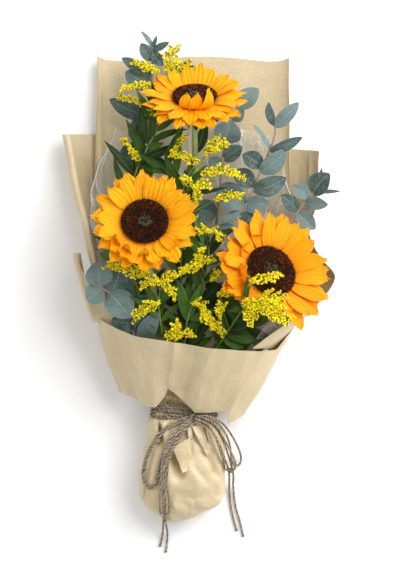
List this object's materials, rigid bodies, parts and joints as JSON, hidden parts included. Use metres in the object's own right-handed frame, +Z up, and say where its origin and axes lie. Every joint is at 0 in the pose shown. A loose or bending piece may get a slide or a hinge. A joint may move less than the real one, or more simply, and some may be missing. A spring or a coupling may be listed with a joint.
{
  "type": "bunch of sunflowers",
  "caption": "Hand-tied bunch of sunflowers with eucalyptus and goldenrod, wrapped in kraft paper with a clear liner and tied with a twine bow, lying on its back.",
  "frame": {"origin": "on the surface the bunch lies on, under the flat part of the tall back sheet", "axes": "+Z up from the surface, +Y from the foot of the wrap to the blooms, +X to the right as seen from above with the blooms at the top"},
  "size_m": [0.3328, 0.6316, 0.1684],
  "materials": {
    "petal": "satin",
    "seed_disc": "matte",
    "sunflower_green": "matte",
    "eucalyptus_leaf": "matte",
    "goldenrod_green": "matte",
    "goldenrod_floret": "matte",
    "kraft_paper": "satin",
    "clear_film": "gloss",
    "jute_twine": "matte"
  },
  "bodies": {
    "root": {"sunflower_left_rays": "petal", "sunflower_left_disc": "seed_disc", "sunflower_left_green": "sunflower_green", "sunflower_right_rays": "petal", "sunflower_right_disc": "seed_disc", "sunflower_right_green": "sunflower_green", "sunflower_top_rays": "petal", "sunflower_top_disc": "seed_disc", "sunflower_top_green": "sunflower_green", "eucalyptus_top_left": "eucalyptus_leaf", "eucalyptus_back": "eucalyptus_leaf", "eucalyptus_right": "eucalyptus_leaf", "eucalyptus_far_right": "eucalyptus_leaf", "eucalyptus_lower_left": "eucalyptus_leaf", "eucalyptus_low": "eucalyptus_leaf", "goldenrod_top_left_green": "goldenrod_green", "goldenrod_top_left_plume_b": "goldenrod_floret", "goldenrod_top_left_plume_c": "goldenrod_floret", "goldenrod_top_left_plume_d": "goldenrod_floret", "goldenrod_top_left_plume_e": "goldenrod_floret", "goldenrod_top_left_plume_a": "goldenrod_floret", "goldenrod_top_centre_green": "goldenrod_green", "goldenrod_top_centre_plume_f": "goldenrod_floret", "goldenrod_top_centre_plume_h": "goldenrod_floret", "goldenrod_top_centre_plume_g": "goldenrod_floret", "goldenrod_top_centre_plume_i": "goldenrod_floret", "goldenrod_top_centre_plume_j": "goldenrod_floret", "goldenrod_top_centre_plume_l": "goldenrod_floret", "goldenrod_centre_green": "goldenrod_green", "goldenrod_centre_plume_m": "goldenrod_floret", "goldenrod_centre_plume_o": "goldenrod_floret", "goldenrod_centre_plume_y": "goldenrod_floret", "goldenrod_lower_left_green": "goldenrod_green", "goldenrod_lower_left_plume_p": "goldenrod_floret", "goldenrod_lower_left_plume_q": "goldenrod_floret", "goldenrod_lower_left_plume_s": "goldenrod_floret", "goldenrod_bottom_green": "goldenrod_green", "goldenrod_bottom_plume_u": "goldenrod_floret", "goldenrod_bottom_plume_v": "goldenrod_floret", "goldenrod_right_green": "goldenrod_green", "goldenrod_right_plume_w": "goldenrod_floret", "goldenrod_right_plume_k": "goldenrod_floret", "goldenrod_right_plume_z": "goldenrod_floret", "goldenrod_right_plume_x": "goldenrod_floret", "paper_back_sheet": "kraft_paper", "paper_left_sheet": "kraft_paper", "paper_right_sheet": "kraft_paper", "paper_left_cuff": "kraft_paper", "paper_collar": "kraft_paper", "paper_foot_wrap": "kraft_paper", "cellophane_liner": "clear_film", "twine_band": "jute_twine", "twine_knot": "jute_twine", "twine_left_loop": "jute_twine", "twine_left_tail_a": "jute_twine", "twine_left_tail_b": "jute_twine", "twine_right_tail_a": "jute_twine", "twine_right_tail_b": "jute_twine", "twine_right_loop": "jute_twine"}
  },
  "joints": []
}
